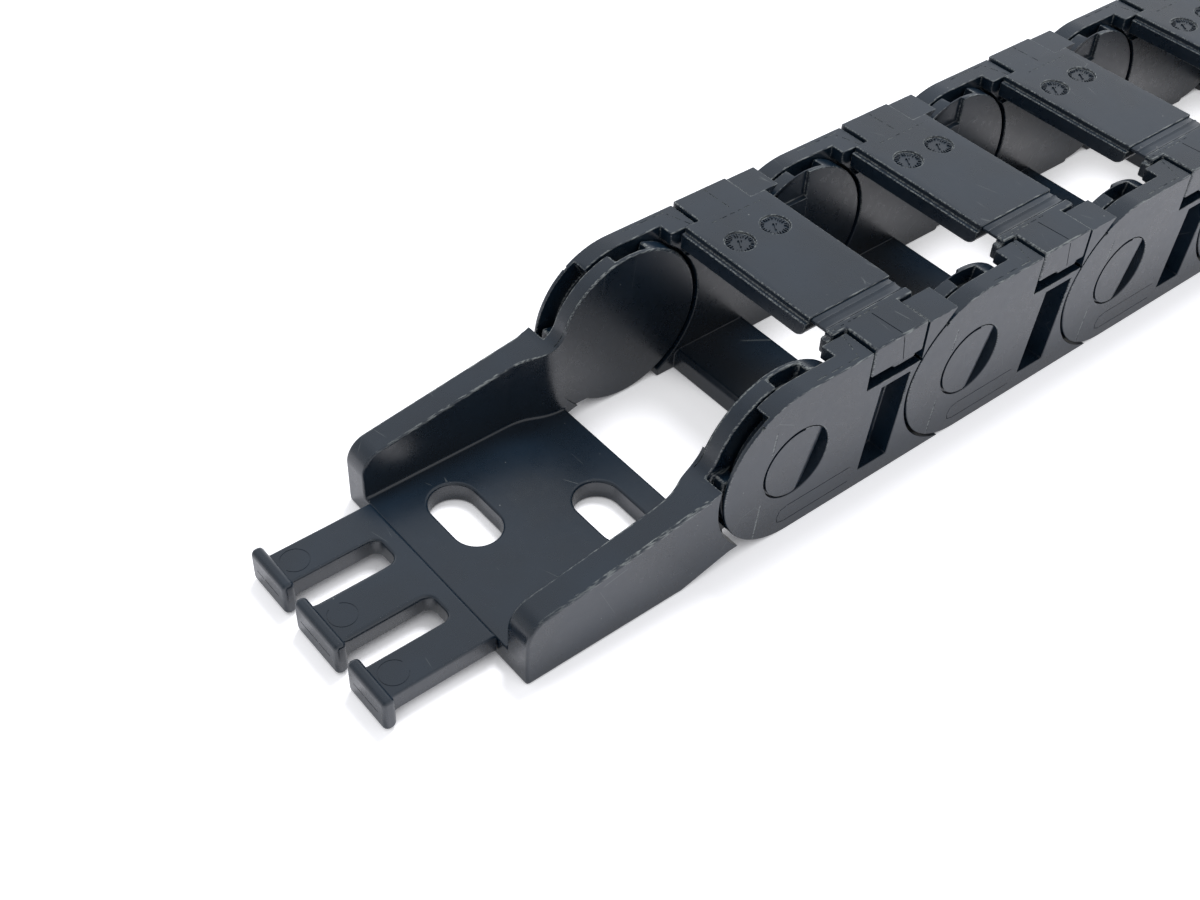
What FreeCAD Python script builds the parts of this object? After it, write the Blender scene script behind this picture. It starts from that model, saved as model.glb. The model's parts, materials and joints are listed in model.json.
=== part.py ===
import FreeCAD
import Part
import math
import os

# A cable drag chain: a mounting bracket with a strain relief comb, a run of plug-together
# links with snap-open crossbars, and the matching bracket and comb of the other end.
# The chain lies straight along +X with its bottom on z = 0 and bends upwards.

# Driving dimensions of the chain, in millimetres and degrees
link_count = 6
pitch = 30.5
clear_width = 25.0
clear_height = 17.0
bend_radius = 38.0
crossbar_thickness = 3.0
crossbar_proud = 0.4

# Side walls: an outer layer in front, an inner layer behind, and the running gap between them
outer_layer = 2.6
inner_layer = 2.6
running_gap = 0.3
flange_undersize = 0.1
flange_inset = 0.3
disc_clearance = 0.4

# Pivot boss and its hole
boss_radius = 5.12
boss_fit = 0.08
boss_ramp_drop = 1.8
boss_ramp_start = 1.6
boss_ramp_lean = 18.0

# Angle stop: a raised sector on the inner flange runs in a recess of the outer disc.
# The flange has a pocket of its own further up, open at its rim as the recess is.
stop_inner_radius = 8.7
stop_outer_radius = 11.0
stop_height = 1.9
stop_clearance = 0.3
recess_start_angle = 119.0
recess_end_angle = 207.0
recess_rim = 0.5
pocket_start_angle = 74.5
pocket_end_angle = 101.0
pocket_wall = 0.65

# Crossbars and the seats of their shoulder blocks
bar_length = 14.3
bottom_bar_length = 12.5
bottom_bar_shift = -0.6
bottom_bar_round = 0.8
block_length = 8.9
block_shift = 0.2
seat_gap = 0.3
block_height = 4.4
shoulder_ledge = 0.8
plate_gap = 0.3
lip_width = 0.6
lip_drop = 0.8
bar_end_round = 1.6

# Film hinge of the crossbar
film_width = 2.5
film_thickness = 0.6
film_drop = 0.2
film_side_inset = 0.3
film_far_edge = 3.3

# Latch nubs, the clip tongue of the hinge block and its socket
nub_length = 4.0
nub_width = 1.3
nub_height = 1.1
tongue_length = 4.6
tongue_width = 1.1
tongue_depth = 3.4
tongue_fit = 0.05
socket_extra_depth = 0.6

# Outside features of a link's side wall
slot_height = 1.9
slot_depth = 2.0
rib_height = 1.0
pocket_front_step = 1.4
pocket_length = 5.1
pocket_lean = 1.4
pocket_floor_height = 2.6
lug_length = 4.0
inner_wall_front = 5.5

# Round mould date marks in the top of each crossbar
clock_diameter = 4.0
clock_depth = 0.3
clock_spacing = 6.0
clock_from_far_edge = 5.8

# Mounting brackets, measured from their pivot
bracket_reach = 39.5
bracket_front_height = 9.2
bracket_neck_height = 13.6
bracket_arm_thickness = 3.8
bracket_corner_round = 3.2
bracket_neck_round = 3.5
bracket_neck_clearance = 1.0
bracket_heel_start = 17.0
bracket_heel_end = 8.5
bracket_heel_lift = 2.2
bracket_jog_start = 18.5
bracket_jog_end = 10.9
base_plate_thickness = 3.0
base_plate_rear = 10.3
slot_hole_width = 6.2
slot_hole_length = 11.0
slot_hole_first = 8.2
slot_hole_spacing = 14.2
slot_hole_stagger = 10.1

# Strain relief comb
comb_width = 25.4
comb_reach = 15.8
comb_bottom = 1.0
comb_top = 3.9
comb_back_gap = 0.1
comb_slot_width = 4.3
comb_slot_offset = 5.4
comb_slot_start = 2.5
comb_slot_round = 1.2
comb_head_length = 1.6
comb_head_overhang = 1.1
comb_head_bottom = 0.1
comb_head_top = 4.9
comb_head_round = 0.7
comb_tongue_width = 4.0
comb_tongue_length = 3.6
comb_tongue_offset = 10.0
comb_tongue_thickness = 1.2
comb_tongue_bottom = 1.2
comb_tongue_fit = 0.05

# Derived sizes
height = clear_height + 2.0 * crossbar_thickness
wall_top = height - crossbar_proud
pivot_height = wall_top / 2.0
disc_radius = wall_top / 2.0
flange_radius = disc_radius - flange_undersize
wall_thickness = outer_layer + running_gap + inner_layer
half_clear = clear_width / 2.0
half_width = half_clear + wall_thickness
outer_layer_inside = half_width - outer_layer
inner_layer_outside = half_clear + inner_layer
flange_inside = half_clear + flange_inset
inner_clear_radius = flange_radius + disc_clearance
outer_clear_radius = disc_radius + disc_clearance
boss_hole_radius = boss_radius + boss_fit
bend_angle = 2.0 * math.degrees(math.asin(pitch / (2.0 * bend_radius)))
link_middle = pitch / 2.0
block_middle = link_middle + block_shift
block_front = block_middle - block_length / 2.0
block_rear = block_middle + block_length / 2.0
seat_front = block_front - seat_gap
seat_rear = block_rear + seat_gap
seat_height = height - block_height
ledge_side = half_clear + shoulder_ledge
plate_side = ledge_side - plate_gap
bar_front = link_middle - bar_length / 2.0
bar_rear = link_middle + bar_length / 2.0
bar_bottom = height - crossbar_thickness
film_near = half_clear - film_far_edge + film_width
film_far = half_clear - film_far_edge
film_top = height - film_drop
rib_top = seat_height - slot_height
pocket_front = seat_front + pocket_front_step
pocket_top = rib_top - rib_height
lug_front = seat_front - lug_length
stop_swing = math.degrees(stop_clearance / stop_inner_radius)
stop_start_angle = recess_start_angle + bend_angle + stop_swing
stop_end_angle = recess_end_angle - stop_swing
socket_middle = (inner_layer_outside + half_clear) / 2.0
far_over = 1.0


def box(x0, x1, y0, y1, z0, z1):
    """A box between two corners."""
    return Part.makeBox(x1 - x0, y1 - y0, z1 - z0, FreeCAD.Vector(x0, y0, z0))


def cylinder_y(x, z, radius, y0, y1):
    """A round bar along Y."""
    return Part.makeCylinder(radius, y1 - y0, FreeCAD.Vector(x, y0, z), FreeCAD.Vector(0, 1, 0))


def prism_y(points, y0, y1):
    """A prism along Y from its outline in X and Z."""
    outline = [FreeCAD.Vector(x, y0, z) for x, z in points]
    face = Part.Face(Part.makePolygon(outline + outline[:1]))
    return face.extrude(FreeCAD.Vector(0, y1 - y0, 0))


def prism_z(points, z0, z1):
    """A prism along Z from its outline in X and Y."""
    outline = [FreeCAD.Vector(x, y, z0) for x, y in points]
    face = Part.Face(Part.makePolygon(outline + outline[:1]))
    return face.extrude(FreeCAD.Vector(0, 0, z1 - z0))


def sector_y(radius_in, radius_out, start_angle, end_angle, y0, y1):
    """A ring sector about the pivot at x = 0, angles counted from +X towards +Z."""
    sweep = end_angle - start_angle
    steps = max(2, math.ceil(sweep / 30.0))
    reach = 1.2 * radius_out / math.cos(math.radians(sweep / steps / 2.0))
    fan = [(0.0, pivot_height)]
    for step in range(steps + 1):
        angle = math.radians(start_angle + sweep * step / steps)
        fan.append((reach * math.cos(angle), pivot_height + reach * math.sin(angle)))
    ring = cylinder_y(0, pivot_height, radius_out, y0, y1)
    ring = ring.cut(cylinder_y(0, pivot_height, radius_in, y0, y1))
    return ring.common(prism_y(fan, y0, y1))


def moved(shape, x):
    """A copy of a shape moved along X."""
    copy = shape.copy()
    copy.translate(FreeCAD.Vector(x, 0, 0))
    return copy


def both_sides(near_side):
    """A near side shape together with its mirror image on the far side."""
    return near_side.fuse(near_side.mirror(FreeCAD.Vector(0, 0, 0), FreeCAD.Vector(0, 1, 0)))


def along_y(shape, matches):
    """The straight edges of a shape that run along Y and whose x and z satisfy a test."""
    chosen = []
    for edge in shape.Edges:
        ends = [vertex.Point for vertex in edge.Vertexes]
        if len(ends) != 2:
            continue
        first, last = ends
        if abs(first.x - last.x) > 1e-6 or abs(first.z - last.z) > 1e-6:
            continue
        if matches(first.x, first.z):
            chosen.append(edge)
    return chosen


def pivot_boss():
    """The near side pivot boss about x = 0. Its end face slopes down past a leaning crease."""
    boss = cylinder_y(0, pivot_height, boss_radius, -half_width, -flange_inside)
    run = boss_radius - boss_ramp_start
    ramp = prism_z(
        [
            (boss_ramp_start, -half_width),
            (boss_ramp_start + 2.0 * run, -half_width + 2.0 * boss_ramp_drop),
            (boss_ramp_start + 2.0 * run, -half_width - far_over),
            (boss_ramp_start, -half_width - far_over),
        ],
        0.0,
        height,
    )
    pivot = FreeCAD.Vector(0, 0, pivot_height)
    ramp.rotate(pivot, FreeCAD.Vector(0, 1, 0), boss_ramp_lean)
    return boss.cut(ramp)


def inner_flange():
    """The near side inner flange about x = 0 with its boss and raised angle stop."""
    flange = cylinder_y(0, pivot_height, flange_radius, -inner_layer_outside, -flange_inside)
    stop = sector_y(
        stop_inner_radius,
        stop_outer_radius,
        stop_start_angle,
        stop_end_angle,
        -inner_layer_outside - stop_height,
        -inner_layer_outside,
    )
    return flange.fuse([pivot_boss(), stop])


def flange_pocket():
    """The near side pocket in the outside of an inner flange about x = 0, open at its rim."""
    return sector_y(
        stop_inner_radius,
        flange_radius + far_over,
        pocket_start_angle,
        pocket_end_angle,
        -inner_layer_outside,
        -flange_inside - pocket_wall,
    )


def stop_recess():
    """The recess in the inside of an outer disc about x = 0, in which the angle stop travels."""
    return sector_y(
        stop_inner_radius - running_gap,
        disc_radius + far_over,
        recess_start_angle,
        recess_end_angle,
        -half_width + recess_rim,
        -outer_layer_inside,
    )


def link_wall():
    """The near side wall of a link, its front pivot at x = 0 and its rear one at x = pitch."""
    outer = box(0, pitch, -half_width, -outer_layer_inside, 0, wall_top)
    outer = outer.fuse(
        cylinder_y(0, pivot_height, disc_radius, -half_width, -outer_layer_inside)
    )
    inner = box(inner_wall_front, pitch, -outer_layer_inside, -half_clear, 0, wall_top)
    inner = inner.cut(
        cylinder_y(0, pivot_height, inner_clear_radius, -outer_layer_inside, -half_clear)
    )
    above_flange = pivot_height + flange_radius / 2.0
    inner = inner.cut(
        box(0, lug_front, -outer_layer_inside, -half_clear, above_flange, wall_top)
    )
    wall = outer.fuse(inner)
    wall = wall.cut(
        cylinder_y(pitch, pivot_height, outer_clear_radius, -half_width, -inner_layer_outside)
    )
    wall = wall.cut(rear_clearance())
    wall = wall.fuse(moved(inner_flange(), pitch))
    wall = wall.cut(moved(flange_pocket(), pitch))
    wall = wall.cut(stop_recess())
    wall = wall.cut(
        cylinder_y(0, pivot_height, boss_hole_radius, -half_width, -outer_layer_inside)
    )
    return wall


def rear_clearance():
    """What the end of a wall leaves free for the next link's wall top when it is fully bent."""
    tangent = math.radians(bend_angle)
    along = FreeCAD.Vector(math.cos(tangent), 0, math.sin(tangent))
    across = FreeCAD.Vector(-math.sin(tangent), 0, math.cos(tangent))
    pivot = FreeCAD.Vector(pitch, 0, pivot_height)
    depth = across * (disc_radius + running_gap)
    reach = 2.0 * disc_radius
    corners = [
        pivot,
        pivot + depth,
        pivot + depth + along * reach,
        pivot + along * reach,
    ]
    swept = prism_y([(c.x, c.z) for c in corners], -half_width, -half_clear)
    flange_space = cylinder_y(
        pitch, pivot_height, flange_radius, -half_width, -half_clear
    )
    tail = box(
        pitch - running_gap,
        pitch + far_over,
        -half_width,
        -half_clear,
        0,
        height,
    )
    return swept.fuse(tail).cut(flange_space)


def wall_pockets():
    """The near side cuts in the outside and the top of a link's wall."""
    seat = box(seat_front, seat_rear, -half_width, -half_clear, seat_height, height)
    ledge = box(0, pitch, -ledge_side, -half_clear, seat_height, height)
    slot = box(
        seat_front, seat_rear, -half_width, -half_width + slot_depth, rib_top, seat_height
    )
    pocket = prism_y(
        [
            (pocket_front, pocket_floor_height),
            (pocket_front + pocket_length, pocket_floor_height),
            (pocket_front + pocket_length + pocket_lean, pocket_top),
            (pocket_front + pocket_lean, pocket_top),
        ],
        -half_width,
        -inner_layer_outside,
    )
    socket = box(
        link_middle - tongue_length / 2.0 - tongue_fit,
        link_middle + tongue_length / 2.0 + tongue_fit,
        -socket_middle - tongue_width / 2.0 - tongue_fit,
        -socket_middle + tongue_width / 2.0 + tongue_fit,
        seat_height - tongue_depth - socket_extra_depth,
        seat_height,
    )
    return seat.fuse([ledge, slot, pocket, socket])


def link_body():
    """One link: two side walls and the fixed bottom crossbar, moulded in one piece."""
    wall = link_wall().cut(wall_pockets())
    bottom_front = link_middle + bottom_bar_shift - bottom_bar_length / 2.0
    bottom_rear = bottom_front + bottom_bar_length
    bar = box(bottom_front, bottom_rear, -half_clear, half_clear, 0, crossbar_thickness)
    bar = bar.makeFillet(
        bottom_bar_round,
        along_y(bar, lambda x, z: abs(z - crossbar_thickness) < 1e-6),
    )
    return both_sides(wall).fuse(bar).removeSplitter()


def bar_section(y0, y1):
    """A length of the top crossbar's plate, with the stepped lip along its front edge."""
    plate = box(bar_front, bar_rear, y0, y1, bar_bottom, height)
    step = box(bar_front, bar_front + lip_width, y0, y1, height - lip_drop, height)
    return plate.cut(step)


def near_nub():
    """The rounded latch nub under the near side shoulder block."""
    y_middle = -half_width + slot_depth - running_gap - nub_width / 2.0
    body = box(
        link_middle,
        link_middle + nub_length,
        y_middle - nub_width / 2.0,
        y_middle + nub_width / 2.0,
        seat_height - nub_height,
        seat_height + running_gap,
    )
    bottom = seat_height - nub_height
    return body.makeFillet(
        nub_height / 2.0, along_y(body, lambda x, z: abs(z - bottom) < 1e-6)
    )


def hinge_block():
    """The clipped end of the top crossbar that stays on the near wall."""
    shoulder = box(block_front, block_rear, -half_width, -plate_side, seat_height, height)
    strip = bar_section(-plate_side, -film_near)
    tongue = box(
        link_middle - tongue_length / 2.0,
        link_middle + tongue_length / 2.0,
        -socket_middle - tongue_width / 2.0,
        -socket_middle + tongue_width / 2.0,
        seat_height - tongue_depth,
        seat_height,
    )
    return shoulder.fuse([strip, tongue, near_nub()]).removeSplitter()


def film_hinge():
    """The thin bending strip between the hinge block and the opening crossbar."""
    return box(
        bar_front + film_side_inset + lip_width,
        bar_rear - film_side_inset,
        -film_near,
        -film_far,
        film_top - film_thickness,
        film_top,
    )


def crossbar():
    """The part of the top crossbar that swings open, with its latch block."""
    plate = bar_section(-film_far, plate_side)
    hinge_edge = [
        edge
        for edge in plate.Edges
        if all(
            abs(v.Point.y + film_far) < 1e-6 and abs(v.Point.z - bar_bottom) < 1e-6
            for v in edge.Vertexes
        )
    ]
    plate = plate.makeFillet(bar_end_round, hinge_edge)
    latch = box(
        block_front, block_rear, plate_side, half_width, seat_height + running_gap, height
    )
    nub = near_nub().mirror(FreeCAD.Vector(0, 0, 0), FreeCAD.Vector(0, 1, 0))
    bar = plate.fuse([latch, nub])
    for side in (-1, 1):
        mark = Part.makeCylinder(
            clock_diameter / 2.0,
            clock_depth,
            FreeCAD.Vector(
                link_middle + side * clock_spacing / 2.0,
                half_clear - clock_from_far_edge,
                height - clock_depth,
            ),
        )
        bar = bar.cut(mark)
    return bar.removeSplitter()


def bracket_side(disc, front_x_sign):
    """The near side arm of a bracket as a full thickness slab, its pivot at x = 0.

    The outline runs from the front corner up the slope to the disc and back along the heel.
    front_x_sign is -1 for the bracket whose arms point to -X and 1 for the other one.
    """
    s = front_x_sign
    slope = (bracket_neck_height - bracket_front_height) / (bracket_reach - disc)
    inside_disc = disc / 2.0
    top_inside = bracket_neck_height + slope * inside_disc
    outline = [
        (s * bracket_reach, 0.0),
        (s * bracket_reach, bracket_front_height),
        (s * inside_disc, top_inside),
        (0.0, top_inside),
        (0.0, bracket_heel_lift),
        (s * bracket_heel_end, bracket_heel_lift),
        (s * bracket_heel_start, 0.0),
    ]
    slab = prism_y(outline, -half_width, -half_clear)
    slab = slab.fuse(cylinder_y(0, pivot_height, disc, -half_width, -half_clear))
    slab = slab.removeSplitter()
    front_top = along_y(
        slab,
        lambda x, z: abs(x - s * bracket_reach) < 1e-6 and z > bracket_front_height / 2.0,
    )
    slab = slab.makeFillet(bracket_corner_round, front_top)
    neck = along_y(
        slab,
        lambda x, z: z > pivot_height and abs(abs(x) - disc) < disc / 4.0,
    )
    slab = slab.makeFillet(bracket_neck_round, neck[:1])
    return slab.cut(arm_thinning(s))


def arm_thinning(front_x_sign):
    """What thins the near arm from inside: its inner face runs into the flange in a soft S."""
    s = front_x_sign
    inside = -half_width + bracket_arm_thickness
    run = bracket_jog_start - bracket_jog_end
    rise = -half_clear - inside
    radius = (run ** 2 + rise ** 2) / (4.0 * rise)
    bulge = radius - math.sqrt(radius ** 2 - (run / 4.0) ** 2)

    def point(x, y):
        return FreeCAD.Vector(s * x, y, base_plate_thickness)

    front = bracket_reach + far_over
    start = point(bracket_jog_start, inside)
    middle = point(bracket_jog_start - run / 2.0, inside + rise / 2.0)
    end = point(bracket_jog_end, -half_clear)
    corners = [
        end,
        point(bracket_jog_end, -half_clear + far_over),
        point(front, -half_clear + far_over),
        point(front, inside),
        start,
    ]
    edges = [Part.makeLine(a, b) for a, b in zip(corners, corners[1:])]
    on_first = point(bracket_jog_start - run / 4.0, inside + bulge)
    on_second = point(bracket_jog_end + run / 4.0, -half_clear - bulge)
    edges.append(Part.Arc(start, on_first, middle).toShape())
    edges.append(Part.Arc(middle, on_second, end).toShape())
    return Part.Face(Part.Wire(edges)).extrude(FreeCAD.Vector(0, 0, height))


def base_plate(front_x_sign):
    """The floor plate of a bracket, with two staggered fixing slots and the comb's sockets."""
    s = front_x_sign
    ends = sorted((s * bracket_reach, s * base_plate_rear))
    plate = box(ends[0], ends[1], -half_clear, half_clear, 0, base_plate_thickness)
    for x, y in slot_places(s):
        plate = plate.cut(slot_hole(x, y))
    for y in (-comb_tongue_offset, comb_tongue_offset):
        plate = plate.cut(comb_tongue(s, y, comb_tongue_fit))
    return plate


def slot_places(front_x_sign):
    """The centres of a bracket's two fixing slots."""
    first = bracket_reach - slot_hole_first
    second = first - slot_hole_spacing
    return [
        (front_x_sign * first, -front_x_sign * slot_hole_stagger / 2.0),
        (front_x_sign * second, front_x_sign * slot_hole_stagger / 2.0),
    ]


def slot_hole(x, y):
    """A fixing slot with round ends, its long way across the chain."""
    half_run = (slot_hole_length - slot_hole_width) / 2.0
    radius = slot_hole_width / 2.0
    slot = box(x - radius, x + radius, y - half_run, y + half_run, 0, base_plate_thickness)
    for end in (y - half_run, y + half_run):
        slot = slot.fuse(
            Part.makeCylinder(radius, base_plate_thickness, FreeCAD.Vector(x, end, 0))
        )
    return slot


def comb_tongue(front_x_sign, y, fit):
    """A comb tongue in a bracket's front edge, or with a fit added the socket that takes it."""
    s = front_x_sign
    ends = sorted((s * (bracket_reach - comb_tongue_length - fit), s * bracket_reach))
    half_tongue = comb_tongue_width / 2.0 + fit
    return box(
        ends[0],
        ends[1],
        y - half_tongue,
        y + half_tongue,
        comb_tongue_bottom - fit,
        comb_tongue_bottom + comb_tongue_thickness + fit,
    )


def fixed_bracket():
    """The bracket of the near end: its inner flanges sit inside the first link's discs."""
    side = bracket_side(flange_radius, -1)
    side = side.cut(
        cylinder_y(
            0,
            pivot_height,
            flange_radius + bracket_neck_clearance,
            -half_width,
            -inner_layer_outside,
        )
    )
    side = side.cut(
        box(-flange_radius, flange_radius, -half_width, -inner_layer_outside,
            bracket_neck_height, height)
    )
    side = side.cut(
        cylinder_y(0, pivot_height, flange_radius + far_over, -flange_inside, -half_clear)
        .common(box(-base_plate_rear, flange_radius + far_over, -flange_inside, -half_clear,
                    0, height))
    )
    side = side.fuse(inner_flange()).cut(flange_pocket())
    return both_sides(side).fuse(base_plate(-1)).removeSplitter()


def moving_bracket():
    """The bracket of the far end: its outer discs sit over the last link's inner flanges."""
    side = bracket_side(disc_radius, 1)
    side = side.cut(
        cylinder_y(0, pivot_height, inner_clear_radius, -outer_layer_inside, -half_clear)
    )
    side = side.cut(
        box(-disc_radius, disc_radius, -outer_layer_inside, -half_clear,
            bracket_neck_height, height)
    )
    side = side.cut(stop_recess())
    side = side.cut(
        cylinder_y(0, pivot_height, boss_hole_radius, -half_width, -outer_layer_inside)
    )
    return both_sides(side).fuse(base_plate(1)).removeSplitter()


def comb(front_x_sign):
    """The strain relief comb that plugs into a bracket's front edge."""
    s = front_x_sign
    back = bracket_reach + comb_back_gap
    tip = bracket_reach + comb_reach
    half_comb = comb_width / 2.0
    ends = sorted((s * back, s * (tip - comb_head_length / 2.0)))
    plate = box(ends[0], ends[1], -half_comb, half_comb, comb_bottom, comb_top)
    half_slot = comb_slot_width / 2.0
    for y in (-comb_slot_offset, comb_slot_offset):
        ends = sorted((s * (back + comb_slot_start), s * (tip + far_over)))
        slot = box(ends[0], ends[1], y - half_slot, y + half_slot, 0, height)
        closed = s * (back + comb_slot_start)
        corners = [e for e in slot.Edges
                   if all(abs(v.Point.x - closed) < 1e-6 for v in e.Vertexes)
                   and abs(e.Vertexes[0].Point.z - e.Vertexes[1].Point.z) > 1.0]
        plate = plate.cut(slot.makeFillet(comb_slot_round, corners))
    middle_edge = comb_slot_offset - half_slot
    outer_edge = comb_slot_offset + half_slot
    teeth = [(-half_comb, -outer_edge), (-middle_edge, middle_edge), (outer_edge, half_comb)]
    for y0, y1 in teeth:
        ends = sorted((s * tip, s * (tip - comb_head_length)))
        head = box(ends[0], ends[1], y0 - comb_head_overhang, y1 + comb_head_overhang,
                   comb_head_bottom, comb_head_top)
        plate = plate.fuse(head.makeFillet(comb_head_round, along_y(head, lambda x, z: True)))
    for y in (-comb_tongue_offset, comb_tongue_offset):
        tongue = comb_tongue(s, y, 0.0)
        bridge_ends = sorted((s * bracket_reach, s * back))
        bridge = box(bridge_ends[0], bridge_ends[1], y - comb_tongue_width / 2.0,
                     y + comb_tongue_width / 2.0, comb_tongue_bottom,
                     comb_tongue_bottom + comb_tongue_thickness)
        plate = plate.fuse([tongue, bridge])
    return plate.removeSplitter()


def save(name, shape):
    """Write one sub-part and say how large it is."""
    if not shape.isValid() or len(shape.Solids) != 1:
        raise ValueError("%s is not one valid solid: %d solids" % (name, len(shape.Solids)))
    solid = shape.Solids[0]
    solid.exportStep("parts/%s.step" % name)
    size = solid.BoundBox
    print("%-22s volume %8.1f  %6.1f x %5.1f x %5.1f" % (
        name, solid.Volume, size.XLength, size.YLength, size.ZLength))


def main():
    os.makedirs("parts", exist_ok=True)
    first_pivot = -link_count * pitch / 2.0
    last_pivot = first_pivot + link_count * pitch
    save("fixed_bracket", moved(fixed_bracket(), first_pivot))
    save("fixed_bracket_comb", moved(comb(-1), first_pivot))
    body = link_body()
    block = hinge_block()
    film = film_hinge()
    bar = crossbar()
    for number in range(1, link_count + 1):
        start = first_pivot + (number - 1) * pitch
        save("link_%d_body" % number, moved(body, start))
        save("link_%d_hinge_block" % number, moved(block, start))
        save("link_%d_film_hinge" % number, moved(film, start))
        save("link_%d_crossbar" % number, moved(bar, start))
    save("moving_bracket", moved(moving_bracket(), last_pivot))
    save("moving_bracket_comb", moved(comb(1), last_pivot))
    print("bend angle per joint %.2f degrees" % bend_angle)
    print("first pivot x %.2f, height %.2f, hinge line y %.2f z %.2f" % (
        first_pivot, pivot_height, -(film_near + film_far) / 2.0,
        film_top - film_thickness / 2.0))


main()
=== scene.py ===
import json
import math
import random

import bmesh
import bpy
import numpy as np
from bpy.props import FloatProperty, FloatVectorProperty, IntProperty, PointerProperty
from mathutils import Matrix, Vector
from mathutils.geometry import delaunay_2d_cdt


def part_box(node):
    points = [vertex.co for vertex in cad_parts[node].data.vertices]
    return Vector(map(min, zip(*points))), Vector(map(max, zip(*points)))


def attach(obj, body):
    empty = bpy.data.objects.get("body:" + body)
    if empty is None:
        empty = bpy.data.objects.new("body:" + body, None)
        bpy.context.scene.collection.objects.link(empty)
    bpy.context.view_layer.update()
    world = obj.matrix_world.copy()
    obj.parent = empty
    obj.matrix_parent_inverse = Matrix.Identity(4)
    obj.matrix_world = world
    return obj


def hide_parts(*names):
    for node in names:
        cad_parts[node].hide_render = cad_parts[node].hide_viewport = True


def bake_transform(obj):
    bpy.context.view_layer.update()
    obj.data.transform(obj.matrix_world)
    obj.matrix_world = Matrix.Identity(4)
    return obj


bl_info = {
    "name": "Cable Drag Chain",
    "version": (1, 0, 0),
    "blender": (4, 5, 0),
    "location": "3D View > Sidebar > Drag Chain",
    "description": "Dresses a plastic cable drag chain: moulded links, crossbars, brackets and combs",
    "category": "Object",
}

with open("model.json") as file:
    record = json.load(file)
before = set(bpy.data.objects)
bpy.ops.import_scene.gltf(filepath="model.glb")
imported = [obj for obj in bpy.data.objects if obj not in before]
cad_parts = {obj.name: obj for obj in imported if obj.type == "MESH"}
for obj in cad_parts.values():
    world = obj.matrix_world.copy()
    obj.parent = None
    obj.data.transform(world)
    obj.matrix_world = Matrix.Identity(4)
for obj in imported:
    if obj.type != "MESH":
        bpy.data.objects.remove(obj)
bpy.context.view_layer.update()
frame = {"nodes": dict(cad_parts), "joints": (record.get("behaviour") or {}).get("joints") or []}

# Everything is shaped in millimetres in the row frame and scaled to metres at the end
MM = 0.001

# The finishes' places in a piece's list of materials. The solids' own faces have the first.
# The edge finish paints scuffs and a painted highlight on edges; the pale finish paints fine lines
# lighter, partly as a painted highlight.
EDGE, MARK, PALE = 1, 2, 3

# Places that the frame gives, in millimetres. A link's own places count from its front pivot.
joints = {joint["name"]: joint for joint in frame["joints"]}
pivots = [j for j in frame["joints"] if j["name"].startswith("pivot_")]
link_count = len(pivots) - 1
first_pivot = pivots[0]["pos_m"][0] / MM
pitch = pivots[1]["pos_m"][0] / MM - first_pivot
pivot_height = pivots[0]["pos_m"][2] / MM
hinge_y = joints["crossbar_1_hinge"]["pos_m"][1] / MM


def node_box(node):
    """A CAD node's corners in millimetres, with X counted from the first pivot."""
    low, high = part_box(node)
    shift = Vector((first_pivot, 0, 0))
    return low / MM - shift, high / MM - shift


half_width = node_box("link_1_body")[1].y
wall_top = node_box("link_1_body")[1].z
bar_top = node_box("link_1_crossbar")[1].z
block_bottom = node_box("link_1_hinge_block")[0].z
film_low, film_high = node_box("link_1_film_hinge")
comb_low, comb_high = node_box("fixed_bracket_comb")
disc_radius = pivot_height

# Sizes of the solids that their boxes don't tell, in millimetres. The heads are spans of Y.
flange_radius = disc_radius - 0.1
boss_radius = 5.2
comb_top = 3.9
comb_heads = ((-13.8, -6.45), (-4.35, 4.35), (6.45, 13.8))
date_mark_places = ((12.25, 6.7), (18.25, 6.7))
date_mark_radius = 2.0
date_mark_depth = 0.3

# How far a cutting solid stands out of the face that it cuts, in millimetres
overshoot = 1.0

# Turns between faces: below the first two they are one flat face, above the others their edge
# is rounded or shaded sharp
weld_turn = math.radians(0.6)
straight_turn = math.radians(1.5)
rounding_turn = math.radians(28.0)
shading_turn = math.radians(48.0)


class ChainSizes(bpy.types.PropertyGroup):
    """Sizes of the moulded details that a user may change"""
    edge_round: FloatProperty(
        name="Edge Round", description="Radius of the moulded edges, in millimetres",
        default=0.15, min=0.05, max=0.5)
    soft_round: FloatProperty(
        name="Soft Edge Round",
        description="Radius of the edges of brackets and combs, in millimetres",
        default=0.4, min=0.05, max=0.6)
    block_round: FloatProperty(
        name="Block Edge Round", description="Radius of the crossbar blocks' edges, in millimetres",
        default=0.25, min=0.05, max=0.5)
    round_steps: IntProperty(
        name="Round Steps", description="Faces across a rounded edge", default=2, min=1, max=4)
    line_width: FloatProperty(
        name="Line Width", description="Width of parting lines, in millimetres",
        default=0.13, min=0.05, max=0.4)
    line_depth: FloatProperty(
        name="Line Depth", description="Depth of parting lines, in millimetres",
        default=0.07, min=0.02, max=0.2)
    floor_size: FloatProperty(
        name="Floor Size", description="Side of the studio floor", default=6.0, unit="LENGTH")


class ChainColours(bpy.types.PropertyGroup):
    """Colours of the chain and its studio"""
    plastic: FloatVectorProperty(
        name="Plastic", description="Colour of the moulded plastic", subtype="COLOR",
        default=(0.004, 0.011, 0.021), min=0.0, max=1.0)
    # Pale colour of scuffed edges and pale fine lines, which also serves as their painted highlight
    worn_and_highlight: FloatVectorProperty(
        name="Worn Edge", description="Colour where an edge is scuffed", subtype="COLOR",
        default=(0.20, 0.22, 0.22), min=0.0, max=1.0)
    dust: FloatVectorProperty(
        name="Dust", description="Colour of the dust specks", subtype="COLOR",
        default=(0.30, 0.31, 0.31), min=0.0, max=1.0)
    floor: FloatVectorProperty(
        name="Floor", description="Colour of the studio floor", subtype="COLOR",
        default=(0.82, 0.82, 0.87), min=0.0, max=1.0)


# Shader graphs


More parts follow.
